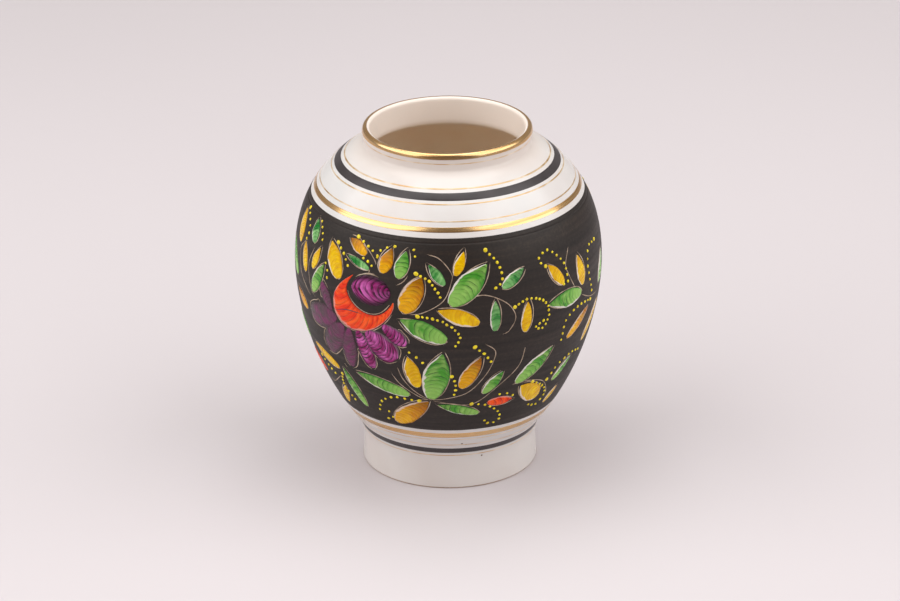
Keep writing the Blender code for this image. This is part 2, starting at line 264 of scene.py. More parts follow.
# %% Floor
bpy.ops.object.select_all(action="DESELECT")
bpy.ops.mesh.primitive_plane_add(size=12.0, location=(0, 0, 0))
floor = bpy.context.object
floor.name = "studio_floor"
# Matt background paper: nearly white with a breath of pink, and no gloss.
paper, tree, shader = new_finish("matt_background_paper", Roughness=0.95, Specular_IOR_Level=0.2)
where = add_node(tree, "TexCoord")
mottle = add_node(tree, "TexNoise", {"Vector": where.outputs["Object"], "Scale": 1.3,
    "Detail": 1.0})
tint = add_node(tree, "ValToRGB", {"Fac": mottle.outputs["Fac"]}, stops=[(0.3, linear("D3CDD0")),
    (0.7, linear("D7D1D4"))])
tree.links.new(tint.outputs["Color"], shader.inputs["Base Color"])
floor.data.materials.append(paper)
print("floor made")

# %% [markdown]
# ## Finishes of the pot
# The body is a buff earthenware under a milky white glaze. Glaze settles unevenly, so the white
# has faint warm and cool clouds, a very slight ripple, and two pinholes on the foot where gas
# came through. Where the glaze is wiped from the foot's edge the bare clay shows. Inside, the
# pot is a warm tan, and the white glaze that was poured over the lip runs down the neck.

# %% White glaze, inner glaze and bare clay
# Fired white glaze: a glassy coat over clay, IOR about 1.5, with a soft satin shine.
white_glaze, tree, shader = new_finish("white_glaze_on_earthenware", Roughness=0.22, IOR=1.5)
where = add_node(tree, "TexCoord")
cloud = add_node(tree, "TexNoise", {"Vector": where.outputs["Object"], "Scale": 26.0,
    "Detail": 3.0})
clouds = add_node(tree, "ValToRGB", {"Fac": cloud.outputs["Fac"]}, stops=[(0.3, linear("D8D2CF")),
    (0.55, linear("DFDCDA")), (0.75, linear("D9D9D8"))])
# Painted warm shade: the white is warmed on the neck, under the lip, and at the bottom of the foot, under
# the belly, where those parts lie in shade.
split = add_node(tree, "SeparateXYZ", {"Vector": where.outputs["Object"]})
neck_shade = add_node(tree, "MapRange", {"Value": split.outputs["Z"], "From Min": 0.164,
    "From Max": 0.172, "To Min": 0.0, "To Max": 0.5})
foot_shade = add_node(tree, "MapRange", {"Value": split.outputs["Z"], "From Min": 0.012,
    "From Max": 0.036, "To Min": 0.2, "To Max": 0.0})
# The neck's and the foot's shares of painted warm shade, added together.
thin = add_node(tree, "Math", {0: neck_shade.outputs["Result"], 1: foot_shade.outputs["Result"]},
    operation="ADD")
# Mix the painted warm shade into the white.
shade_warmed = add_node(tree, "Mix", {"Factor": thin.outputs["Value"], "A": clouds.outputs["Color"],
    "B": linear("E4D4C8")}, data_type="RGBA")
# Pinholes: azimuth from the front, height in mm, radius in mm.
PINHOLES = [(7.0, 27.0, 0.35), (21.0, 17.0, 0.3), (9.5, 26.0, 0.2)]
colour = shade_warmed.outputs["Result"]
for azimuth, z, radius in PINHOLES:
    angle = math.radians(azimuth)
    r = outer_radius(z)
    spot = Vector((r * math.sin(angle), -r * math.cos(angle), z)) * MM
    away = add_node(tree, "VectorMath", {0: where.outputs["Object"], 1: spot},
        operation="DISTANCE")
    inside = add_node(tree, "MapRange", {"Value": away.outputs["Value"], "From Min": radius * MM,
        "From Max": radius * 2 * MM, "To Min": 1.0, "To Max": 0.0})
    pinhole = add_node(tree, "Mix", {"Factor": inside.outputs["Result"], "A": colour,
        "B": linear("6E5646")}, data_type="RGBA")
    colour = pinhole.outputs["Result"]
tree.links.new(colour, shader.inputs["Base Color"])
ripple = add_node(tree, "TexNoise", {"Vector": where.outputs["Object"], "Scale": 220.0,
    "Detail": 2.0})
bump = add_node(tree, "Bump", {"Height": ripple.outputs["Fac"], "Strength": 0.25, "Distance": 0.1
    * MM})
tree.links.new(bump.outputs["Normal"], shader.inputs["Normal"])

# Clear glaze over buff clay: the colour is the clay's, the shine is the glaze's.
inner_glaze, tree, shader = new_finish("clear_glaze_on_buff_clay", Roughness=0.35, IOR=1.5)
where = add_node(tree, "TexCoord")
grain = add_node(tree, "TexNoise", {"Vector": where.outputs["Object"], "Scale": 60.0,
    "Detail": 4.0})
tint = add_node(tree, "ValToRGB", {"Fac": grain.outputs["Fac"]}, stops=[(0.3, linear("FBE8D2")),
    (0.7, linear("FDEFDC"))])
# White glaze was poured just inside the mouth, and it thins out over the last millimetres.
split = add_node(tree, "SeparateXYZ", {"Vector": where.outputs["Object"]})
poured = add_node(tree, "MapRange", {"Value": split.outputs["Z"], "From Min": 0.1615,
    "From Max": 0.168, "To Min": 0.0, "To Max": 1.0}, interpolation_type="SMOOTHSTEP")
lined = add_node(tree, "Mix", {"Factor": poured.outputs["Result"], "A": tint.outputs["Color"],
    "B": linear("F8ECE2")}, data_type="RGBA")
tree.links.new(lined.outputs["Result"], shader.inputs["Base Color"])

# Bare fired clay: matt, gritty, a little pink.
bare_clay, tree, shader = new_finish("bare_fired_clay", Roughness=0.85, IOR=1.5)
where = add_node(tree, "TexCoord")
grit = add_node(tree, "TexNoise", {"Vector": where.outputs["Object"], "Scale": 900.0,
    "Detail": 4.0})
tint = add_node(tree, "ValToRGB", {"Fac": grit.outputs["Fac"]}, stops=[(0.35, linear("A98669")),
    (0.7, linear("CBAE93"))])
bump = add_node(tree, "Bump", {"Height": grit.outputs["Fac"], "Strength": 0.5, "Distance": 0.1
    * MM})
tree.links.new(tint.outputs["Color"], shader.inputs["Base Color"])
tree.links.new(bump.outputs["Normal"], shader.inputs["Normal"])
print("pot finishes:", white_glaze.name, inner_glaze.name, bare_clay.name)

# %% [markdown]
# The black band is slip: liquid clay brushed on while the pot turned on the wheel. It is
# almost matt and a warm black. The brush leaves level streaks a millimetre or two high that
# run a long way round, and the thinner streaks are a little browner and shinier.

# %% Black slip and black enamel
black_slip, tree, shader = new_finish("brushed_black_slip", IOR=1.5, Specular_IOR_Level=0.4)
where = add_node(tree, "TexCoord")
STREAK_LENGTH, STREAK_HEIGHT = 70.0, 2.4
stretch = add_node(tree, "Mapping", {"Vector": where.outputs["Object"], "Scale": (PER_METRE
    / STREAK_LENGTH, PER_METRE / STREAK_LENGTH, PER_METRE / STREAK_HEIGHT)})
streak = add_node(tree, "TexNoise", {"Vector": stretch.outputs["Vector"], "Scale": 1.0,
    "Detail": 4.0})
fleck = add_node(tree, "TexNoise", {"Vector": where.outputs["Object"], "Scale": 700.0,
    "Detail": 3.0})
both = add_node(tree, "Mix", {"Factor": 0.35, "A": streak.outputs["Fac"],
    "B": fleck.outputs["Fac"]}, data_type="FLOAT")
tint = add_node(tree, "ValToRGB", {"Fac": both.outputs["Result"]}, stops=[(0.3, linear("140D09")),
    (0.55, linear("211711")), (0.75, linear("35281C"))])
tree.links.new(tint.outputs["Color"], shader.inputs["Base Color"])
gloss = add_node(tree, "MapRange", {"Value": both.outputs["Result"], "From Min": 0.3,
    "From Max": 0.7, "To Min": 0.62, "To Max": 0.46})
tree.links.new(gloss.outputs["Result"], shader.inputs["Roughness"])
bump = add_node(tree, "Bump", {"Height": both.outputs["Result"], "Strength": 0.25, "Distance": 0.1
    * MM})
tree.links.new(bump.outputs["Normal"], shader.inputs["Normal"])

# Black overglaze enamel: smoother and glassier than the slip, laid with a loaded brush.
black_enamel, tree, shader = new_finish("black_overglaze_enamel", IOR=1.5)
where = add_node(tree, "TexCoord")
pool = add_node(tree, "TexNoise", {"Vector": where.outputs["Object"], "Scale": 90.0,
    "Detail": 3.0})
tint = add_node(tree, "ValToRGB", {"Fac": pool.outputs["Fac"]}, stops=[(0.3, linear("2E292A")),
    (0.7, linear("403A3C"))])
gloss = add_node(tree, "MapRange", {"Value": pool.outputs["Fac"], "From Min": 0.3, "From Max": 0.7,
    "To Min": 0.3, "To Max": 0.42})
tree.links.new(tint.outputs["Color"], shader.inputs["Base Color"])
tree.links.new(gloss.outputs["Result"], shader.inputs["Roughness"])
print("blacks:", black_slip.name, black_enamel.name)

# %% [markdown]
# Gold lustre is a film of real gold, fired on over the glaze. It mirrors like metal and follows
# the brush: where the film is thin it turns browner and a little duller. The hairlines are so
# thin that the glaze shows through them in places.

# %% Gold lustre
# Gold: metallic 1, with the colour of burnished gold and a satin polish.
gold_lustre, tree, shader = new_finish("fired_gold_lustre", Metallic=1.0)
where = add_node(tree, "TexCoord")
stretch = add_node(tree, "Mapping", {"Vector": where.outputs["Object"], "Scale": (25.0, 25.0,
    900.0)})
brush = add_node(tree, "TexNoise", {"Vector": stretch.outputs["Vector"], "Scale": 1.0,
    "Detail": 4.0})
tint = add_node(tree, "ValToRGB", {"Fac": brush.outputs["Fac"]}, stops=[(0.28, linear("CC9A60")),
    (0.5, linear("E6BD84")), (0.72, linear("F0CE9E"))])
gloss = add_node(tree, "MapRange", {"Value": brush.outputs["Fac"], "From Min": 0.3,
    "From Max": 0.7, "To Min": 0.3, "To Max": 0.18})
tree.links.new(tint.outputs["Color"], shader.inputs["Base Color"])
tree.links.new(gloss.outputs["Result"], shader.inputs["Roughness"])

# The same gold in a hairline: half metal, half the cream glaze under it.
thin_gold, tree, shader = new_finish("thin_gold_hairline")
where = add_node(tree, "TexCoord")
wear = add_node(tree, "TexNoise", {"Vector": where.outputs["Object"], "Scale": 120.0,
    "Detail": 3.0})
tint = add_node(tree, "ValToRGB", {"Fac": wear.outputs["Fac"]}, stops=[(0.35, linear("C8A275")),
    (0.5, linear("D6B98E")), (0.65, linear("E2D2BC"))])
metal = add_node(tree, "MapRange", {"Value": wear.outputs["Fac"], "From Min": 0.35,
    "From Max": 0.6, "To Min": 0.7, "To Max": 0.15})
tree.links.new(tint.outputs["Color"], shader.inputs["Base Color"])
tree.links.new(metal.outputs["Result"], shader.inputs["Metallic"])
shader.inputs["Roughness"].default_value = 0.3
print("golds:", gold_lustre.name, thin_gold.name)

# %% [markdown]
# ## The pot and its rings
# A potter turns clay on a wheel, and the spin operator does the same: it turns a half outline
# about the Z axis. The outline is drawn once as a chain of edges, spun through a full turn,
# and closed by merging the seam and the poles. Then the normals are made to point outwards.

# %% Helpers for meshes
TURNS = 192
SEAM = 0.000005


def make_active(piece):
    bpy.ops.object.select_all(action="DESELECT")
    piece.select_set(True)
    bpy.context.view_layer.objects.active = piece


def spin_outline(name, outline, closed=True):
    """Turn an outline of (radius, height) points in mm about Z into one closed body."""
    points = [(r * MM, 0.0, z * MM) for r, z in outline]
    pairs = [(i, i + 1) for i in range(len(points) - 1)]
    if closed:
        pairs.append((len(points) - 1, 0))
    mesh = bpy.data.meshes.new(name)
    mesh.from_pydata(points, pairs, [])
    piece = bpy.data.objects.new(name, mesh)
    bpy.context.scene.collection.objects.link(piece)
    make_active(piece)
    bpy.ops.object.mode_set(mode="EDIT")
    bpy.ops.mesh.select_all(action="SELECT")
    bpy.ops.mesh.spin(steps=TURNS, angle=math.tau, center=(0, 0, 0), axis=(0, 0, 1))
    bpy.ops.mesh.select_all(action="SELECT")
    bpy.ops.mesh.remove_doubles(threshold=SEAM)
    bpy.ops.mesh.normals_make_consistent(inside=False)
    bpy.ops.object.mode_set(mode="OBJECT")
    bpy.ops.object.shade_smooth_by_angle(angle=math.radians(40))
    return piece


def settle(piece, slot, *nodes):
    """Ride on the pot and stand for these CAD nodes, which are hidden. The slot is not used."""
    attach(piece, "root")
    if nodes:
        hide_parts(*nodes)


def arc(centre, radius, start, end, count):
    """Points of (radius, height) on an arc, angles in degrees from outwards to upwards."""
    angles = [math.radians(a) for a in steps(start, end, count)]
    return [(centre[0] + radius * math.cos(a), centre[1] + radius * math.sin(a)) for a in angles]


def bend(start, control, end, count):
    """Points on a quadratic curve, without its two ends."""
    points = []
    for t in steps(0.0, 1.0, count)[1:-1]:
        shares = ((1 - t) ** 2, 2 * t * (1 - t), t**2)
        points.append(tuple(sum(k * p[i] for k, p in zip(shares, (start, control, end))) for i in (0, 1)))
    return points


# %% The pot
EDGE = 0.9
SEAT = 0.7
LIP_CENTRE = (LIP_CENTRE_RADIUS, LIP_CENTRE_HEIGHT)
LIP_UNDER_GOLD = LIP_THICKNESS / 2 - 0.05

ring_inside = FOOT_RADIUS - FOOT_RING_WIDTH
outline = [(0.0, FOOT_RING_HEIGHT), (ring_inside - 2.5, FOOT_RING_HEIGHT)]
outline += bend(outline[-1], (ring_inside, FOOT_RING_HEIGHT), (ring_inside, FOOT_RING_HEIGHT - 2.5), 4)
outline += [(ring_inside, FOOT_RING_HEIGHT - 2.5)]
outline += arc((ring_inside + EDGE, EDGE), EDGE, 180, 270, 4)
outline += arc((FOOT_RADIUS - EDGE, EDGE), EDGE, 270, 360, 5)[:-1]
outline += [off_surface(z, 0.0) for z in steps(EDGE, BAND_BOTTOM + 0.5, 26)]
outline += [off_surface(z, -SEAT) for z in steps(BAND_BOTTOM + 0.5, BAND_TOP - 0.5, 44)]
outline += [off_surface(z, 0.0) for z in steps(BAND_TOP - 0.5, SHOULDER_HEIGHT, 20)]
outline += [off_surface(z, 0.0) for z in steps(SHOULDER_HEIGHT, NECK_HEIGHT, 10)[1:]]
outline += [off_surface(z, 0.0) for z in steps(NECK_HEIGHT, LIP_CENTRE_HEIGHT - 0.8, 5)[1:]]
outline += arc(LIP_CENTRE, LIP_UNDER_GOLD, 0, 180, 14)
neck_end = (INNER_NECK_RADIUS, INNER_NECK_END)
under_shoulder = off_surface(SHOULDER_HEIGHT - 3.0, -WALL)
outline += [(INNER_NECK_RADIUS, z) for z in steps(LIP_CENTRE_HEIGHT - 0.8, INNER_NECK_END, 6)]
outline += bend(neck_end, (INNER_NECK_RADIUS + 1.0, under_shoulder[1] + 1.5), under_shoulder, 6)
outline += [off_surface(z, -WALL) for z in steps(SHOULDER_HEIGHT - 3.0, FLARE_HEIGHT + 1, 44)]
floor_edge = (outline[-1][0] - 16.0, FLOOR_TOP)
outline += bend(outline[-1], (outline[-1][0] - 7.0, FLOOR_TOP), floor_edge, 10)
outline += [floor_edge, (0.0, FLOOR_TOP)]
pot = spin_outline("glazed_pot", outline, closed=False)
for finish in (white_glaze, inner_glaze, bare_clay):
    pot.data.materials.append(finish)
WIPED_EDGE = 0.75
for face in pot.data.polygons:
    x, y, z = face.center / MM
    r = math.hypot(x, y)
    if z < WIPED_EDGE and r > ring_inside:
        face.material_index = 2
    elif z > FOOT_RING_HEIGHT + 1 and r < outer_radius(min(z, LIP_CENTRE_HEIGHT)) - 2.5:
        face.material_index = 1
settle(pot, "white_glaze", "ceramic_body")
print("pot faces:", len(pot.data.polygons))

# %% [markdown]
# The slip, the gold and the enamel are layers of their own on the pot. Each one is a thin closed
# skin that starts a little inside the glaze and stands a tenth of a millimetre or less proud of
# it, with softened edges. The slip has a shallow turned groove just under its upper edge.

# %% The slip band
SLIP_PROUD = 0.12
SOFT = 0.35
GROOVE_MIDDLE, GROOVE_HALF, GROOVE_DEPTH = 144.4, 0.6, 0.2


def slip_outside(z):
    """How far the slip stands off the pot at height z."""
    near_edge = min(z - BAND_BOTTOM, BAND_TOP - z, SOFT) / SOFT
    groove = max(0.0, 1.0 - abs(z - GROOVE_MIDDLE) / GROOVE_HALF)
    soft_groove = groove**2 * (3 - 2 * groove)
    return -0.05 + (SLIP_PROUD + 0.05) * math.sqrt(near_edge) - GROOVE_DEPTH * soft_groove


heights = steps(BAND_BOTTOM, BAND_BOTTOM + SOFT, 4)
heights += steps(BAND_BOTTOM + SOFT, GROOVE_MIDDLE - 1.2, 70)[1:]
heights += steps(GROOVE_MIDDLE - 1.2, GROOVE_MIDDLE + 1.2, 14)[1:]
heights += steps(GROOVE_MIDDLE + 1.2, BAND_TOP - SOFT, 2)[1:] + steps(BAND_TOP - SOFT, BAND_TOP, 4)[1:]
outline = [off_surface(z, slip_outside(z)) for z in heights]
outline += [off_surface(z, -SEAT - 0.1) for z in steps(BAND_TOP, BAND_BOTTOM, 40)]
slip_band = spin_outline("black_slip_band", outline)
slip_band.data.materials.append(black_slip)
settle(slip_band, "black_slip", "black_band")
print("slip faces:", len(slip_band.data.polygons))

# %% The rings and the gilt lip
# A hairline fades at its edges, so it is drawn a little narrower than its solid in the CAD.
HAIRLINE = 0.5
# Node, slot, finish, height of the ring's middle, width.
RINGS = [("neck_gold_line", "gold_lustre", thin_gold, 174.9, HAIRLINE),
    ("shoulder_gold_line_upper", "gold_lustre", thin_gold, 165.7, HAIRLINE),
    ("shoulder_black_ring", "black_enamel", black_enamel, 162.9, 2.8),
    ("shoulder_gold_line_middle", "gold_lustre", thin_gold, 160.2, HAIRLINE),
    ("shoulder_gold_line_lower", "gold_lustre", thin_gold, 153.6, HAIRLINE), ("shoulder_gold_band",
    "gold_lustre", gold_lustre, 150.2, 2.2), ("foot_gold_band", "gold_lustre", gold_lustre, 34.0,
    3.4), ("foot_gold_line_upper", "gold_lustre", thin_gold, 30.6, HAIRLINE),
    ("foot_gold_line_middle", "gold_lustre", thin_gold, 26.2, HAIRLINE), ("foot_black_ring",
    "black_enamel", black_enamel, 21.8, 3.2), ("foot_gold_line_lower", "gold_lustre", thin_gold,
    18.6, HAIRLINE)]
RING_PROUD, RING_SUNK = 0.05, -0.15
for node, slot, finish, middle, width in RINGS:
    low, high = middle - width / 2, middle + width / 2
    across = [low, low + 0.1] + steps(low + 0.1, high - 0.1, 3)[1:] + [high]
    outline = [off_surface(z, 0.01 if z in (low, high) else RING_PROUD) for z in across]
    outline += [off_surface(z, RING_SUNK) for z in across[::-1]]
    ring = spin_outline(node + "_painted", outline)
    ring.data.materials.append(finish)
    settle(ring, slot, node)

# The gilding's lower edge stands a little out, so the whole of it leans back: out and up in mm,
# then the angle where it meets the lip's round, and how deep its hidden side lies.
RIM_LEAN = ((0.22, 0.0), (0.15, 0.35), (0.06, 0.8))
RIM_LEAN_END = 13
RIM_DEPTH = 0.2
lip_outside = LIP_CENTRE_RADIUS + LIP_THICKNESS / 2
outline = [(lip_outside + out, RIM_GOLD_EDGE + up) for out, up in RIM_LEAN]
outline += arc(LIP_CENTRE, LIP_THICKNESS / 2, RIM_LEAN_END, RIM_GOLD_TURN, 12)
outline += arc(LIP_CENTRE, LIP_THICKNESS / 2 - RIM_DEPTH, RIM_GOLD_TURN + 3, 0, 12)
outline += [(LIP_CENTRE_RADIUS + LIP_THICKNESS / 2 - RIM_DEPTH, RIM_GOLD_EDGE)]
rim = spin_outline("gilt_lip", outline)
rim.data.materials.append(gold_lustre)
settle(rim, "gold_lustre", "gold_rim")
print("rings:", len(RINGS) + 1)

# %% [markdown]
# ## The painting
# Each leaf and petal is a pool of coloured glaze, laid with one loaded stroke and then combed
# with the brush while wet. It is thick enough to feel: half a millimetre, domed, with a round
# edge. So the painting is real geometry. One blank, half of a flattened sphere cut off flat,
# is copied for every leaf and petal, and each copy is laid on the curve of the pot.
# A place on the painting is an azimuth in degrees from the front, positive towards +X, and a
# rise above the slip's lower edge.

# %% Where the leaves and petals lie
# Azimuth and rise of the tip, azimuth and rise of the root, breadth: as in the CAD model.
LEAVES = {"yellow": [(-57, 93, -61, 81, 5), (-51, 99, -44.5, 82.5, 10), (6, 103, 2.5, 92, 5),
    (-4, 74.5, 11, 67, 8), (40, 90, 47, 78, 6), (56.5, 88.5, 59, 72, 7), (30, 74.5, 29, 58.5, 6),
    (-68, 36.5, -51.5, 29.5, 6), (-52.5, 18, -59, 5, 5), (-16, 47.5, -13, 29.5, 8),
    (31, 25.5, 42.5, 14.5, 11), (56.5, 15, 50.5, 7, 4)], "green": [(-64, 104.5, -62, 93.5, 7),
    (-53.5, 86, -60.5, 69, 7), (-41, 95.5, -31, 91.5, 4), (-16.5, 102.5, -19, 89.5, 7),
    (-7.5, 97, -1.5, 87.5, 5), (14.5, 96.5, 0.5, 77.5, 12), (-18, 68.5, -1, 58, 10),
    (29, 92, 20, 84, 6), (39.5, 69.5, 58, 68.5, 9), (17, 78, 17, 62, 5.5), (-48.5, 30.5, -42, 9,
    6), (-40, 31.5, -17, 24, 8), (-2.5, 50.5, -8, 22.5, 13), (21.5, 37.5, 14, 25, 6),
    (-5, 18.5, 13, 12, 6), (43.5, 44.5, 28, 28.5, 9), (58.5, 32, 49.5, 21.5, 5)],
    "ochre": [(-41.5, 103.5, -33, 98, 6), (-22.5, 103, -25.5, 91, 7), (-10, 91, -17, 72.5, 11),
    (65, 57.5, 51.5, 46, 6), (-9, 20.5, -26.5, 3.5, 11), (12, 47.5, 4.5, 29.5, 8)],
    "red": [(28, 18.5, 16.5, 18.5, 6)]}
# Leaves at the sides of the spray, where the pot turns away.
SIDE_LEAVES = {"yellow": [(-78, 104, -75, 88, 8), (-69, 91, -66.5, 76.5, 6), (77, 55, 66, 37, 6)],
    "green": [(-85, 86, -76, 70, 8), (-82, 48, -76, 35, 7), (81, 80, 76, 64, 8)],
    "ochre": [(-77, 63, -67, 56, 6)], "red": [(-77, 29, -67, 20, 6)]}
# The painted petals run in under the cup and nearly touch, so here they are a little fuller.
ROSE_PETALS = [("rose_petal_upper_left", -54, 77, -48.5, 64, 7.5), ("rose_petal_left", -63.5, 55.5,
    -46, 61.5, 14.5), ("rose_petal_lower_left", -54.5, 39.5, -43, 58.5, 13.5),
    ("rose_petal_bottom", -42.5, 34.5, -40, 57.5, 10), ("rose_petal_bottom_slim", -31, 37.5, -36,
    58, 9), ("rose_petal_lower_right", -20.5, 45, -32, 58.5, 15), ("rose_petal_right", -16, 54.5,
    -25, 64, 8.5)]
# The heart is an oval: azimuth and rise of its middle, half length and half height in mm.
ROSE_HEART = (-29.8, 81.0, 11.0, 7.6)
# The cup's two edges, from its upper tip round the left and the bottom to its right end.
CUP_OUTSIDE = [(-38, 87), (-43, 82), (-46.5, 76), (-47.5, 70), (-46.5, 64), (-43, 59.5),
    (-38, 57.5), (-31, 59), (-26, 63), (-22, 68.5), (-20, 73.5), (-20, 77)]
CUP_INSIDE = [(-37.5, 86.8), (-39.5, 82), (-40, 78.5), (-38.5, 74), (-35.5, 70.5), (-31.5, 68.5),
    (-27.5, 68.8), (-24.5, 71), (-22.5, 74), (-21, 76.8)]
CUP_FOLD = [(-46.5, 65), (-43, 67), (-39.5, 68), (-36, 68), (-32.5, 67.8)]
LEAF_SKEW, LEAF_FULLNESS = 0.86, 0.6
PETAL_SKEW, PETAL_FULLNESS = 1.2, 0.48
TIP_POINT = 0.4
print("leaves:", sum(len(v) for v in LEAVES.values()), "petals:", len(ROSE_PETALS) + 2)


# %% Finding a place on the pot
def on_pot(azimuth, rise, distance):
    """The point in metres at this azimuth and rise, this many mm off the pot."""
    r, z = off_surface(BAND_BOTTOM + rise * FIELD_STRETCH, distance)
    angle = math.radians(azimuth)
    return Vector((r * math.sin(angle), -r * math.cos(angle), z)) * MM


def field_scale(rise):
    """Millimetres per degree and per unit of rise, at this rise."""
    z = BAND_BOTTOM + rise * FIELD_STRETCH
    slope = (outer_radius(z + 0.05) - outer_radius(z - 0.05)) / 0.1
    return math.radians(outer_radius(z)), FIELD_STRETCH * math.hypot(1.0, slope)


def leaf_place(shape, along, side):
    """The azimuth and rise at a share along a leaf and this many mm to its side."""
    tip_azimuth, tip_rise, root_azimuth, root_rise, _ = shape
    across, up = field_scale((tip_rise + root_rise) / 2)
    run = ((tip_azimuth - root_azimuth) * across, (tip_rise - root_rise) * up)
    length = math.hypot(*run)
    azimuth = root_azimuth + (tip_azimuth - root_azimuth) * along
    rise = root_rise + (tip_rise - root_rise) * along
    return (azimuth - run[1] / length / across * side, rise + run[0] / length / up * side)


def leaf_length(shape):
    across, up = field_scale((shape[1] + shape[3]) / 2)
    return math.hypot((shape[0] - shape[2]) * across, (shape[1] - shape[3]) * up)


def oval_place(oval, angle, grow=0.0):
    """The azimuth and rise on an oval at this angle, grown by this many mm."""
    azimuth, rise, half_length, half_height = oval
    across, up = field_scale(rise)
    turn = math.radians(angle)
    return (azimuth + (half_length + grow) / across * math.cos(turn), rise + (half_height + grow)
        / up * math.sin(turn))


# %% [markdown]
# The blank is a unit sphere pressed flat and cut through its middle. Its disc coordinates say
# where each point goes: x runs from the root to the tip and y from one edge to the other. Two UV
# maps are written as the blank is laid. "Brush" is in millimetres along and across the stroke
# and bends with the brush's arcs. "Share" runs from 0 to 1 along and across the leaf.

# %% The blank
bpy.ops.object.select_all(action="DESELECT")
bpy.ops.mesh.primitive_uv_sphere_add(segments=56, ring_count=28, radius=1.0)
blank = bpy.context.object
blank.name = "glaze_blank"
bpy.ops.object.mode_set(mode="EDIT")
bpy.ops.mesh.select_all(action="SELECT")
bpy.ops.transform.rotate(value=math.radians(90), orient_axis="Y", center_override=(0, 0, 0))
bpy.ops.mesh.bisect(plane_co=(0, 0, 0), plane_no=(0, 0, 1), clear_inner=True, use_fill=True,
    threshold=0.0001)
bpy.ops.mesh.select_all(action="SELECT")
bpy.ops.mesh.normals_make_consistent(inside=False)
bpy.ops.object.mode_set(mode="OBJECT")
print("blank:", len(blank.data.vertices), "vertices", [round(v, 2) for v in blank.dimensions])

# %% Laying a blank
GLAZE_SUNK = -0.15
STROKE_LEAN = 0.3
STROKE_BEND = 0.11
lay_count = 0


def lay_blank(name, finish, place, thickness, size_of, bend_by=STROKE_BEND):
    """Copy the blank and lay it on the pot, with place(along, side) giving azimuth and rise."""
    global lay_count
    lay_count += 1
    piece = bpy.data.objects.new(name, blank.data.copy())
    bpy.context.scene.collection.objects.link(piece)
    mesh = piece.data
    while mesh.uv_layers:
        mesh.uv_layers.remove(mesh.uv_layers[0])
    mesh.uv_layers.new(name="Brush")
    mesh.uv_layers.new(name="Share")
    brush_map, share_map = mesh.uv_layers["Brush"].data, mesh.uv_layers["Share"].data
    length = size_of(0.5)[0]
    marks = []
    for vertex in mesh.vertices:
        x, y, z = vertex.co
        chord = math.sqrt(max(1.0 - x * x, 0.0))
        side = max(-1.0, min(1.0, y / chord)) if chord > 0.001 else 0.0
        along = 0.5 + x / 2
        half = size_of(along)[1]
        height = GLAZE_SUNK if z < 0.001 else SLIP_PROUD - 0.05 + thickness * z**0.6
        vertex.co = on_pot(*place(along, side), height)
        u, v = along * length, side * half
        bent = u + STROKE_LEAN * v + bend_by * v * v + 37.0 * lay_count
        marks.append(((bent, v + 11.0 * lay_count), (along, 0.5 + side / 2)))
    for loop in mesh.loops:
        brush_map[loop.index].uv, share_map[loop.index].uv = marks[loop.vertex_index]
    mesh.materials.clear()
    mesh.materials.append(finish)
    make_active(piece)
    bpy.ops.object.mode_set(mode="EDIT")
    bpy.ops.mesh.select_all(action="SELECT")
    bpy.ops.mesh.normals_make_consistent(inside=False)
    bpy.ops.object.mode_set(mode="OBJECT")
    bpy.ops.object.shade_smooth_by_angle(angle=math.radians(60))
    return piece


def half_share(along, skew, fullness):
    """Half the breadth as a share of the widest. A leaf has a pointed tip, a petal a round one."""
    t = 0.02 + 0.96 * along
    point = TIP_POINT if skew < 1 else 0.0
    return math.sin(math.pi * t**skew) ** (fullness + point * t**3)


def lay_leaf(name, shape, finish, skew=LEAF_SKEW, fullness=LEAF_FULLNESS, thickness=0.45):
    length = leaf_length(shape)
    wave = random.Random(name).uniform(0, 6.28)

    def half_breadth(along):
        wobble = 1.0 + 0.05 * math.sin(9 * along + wave) + 0.02 * math.sin(31 * along + wave)
        return shape[4] / 2 * half_share(along, skew, fullness) * wobble

    def place(along, side):
        return leaf_place(shape, along, side * half_breadth(along))

    return lay_blank(name, finish, place, thickness, lambda along: (length, half_breadth(along)))


print("blank ready to lay")

# %% [markdown]
# ## Coloured glazes
# Every colour is the same kind of thing: a glassy lead-free glaze with a lot of stain in it,
# dragged by a brush. The strokes leave curved ridges two or three millimetres apart, darker
# where the glaze pools, paler where it is thin, and here and there the white ground shows at
# the edge. So one function makes them all, and it is given the colours of each.


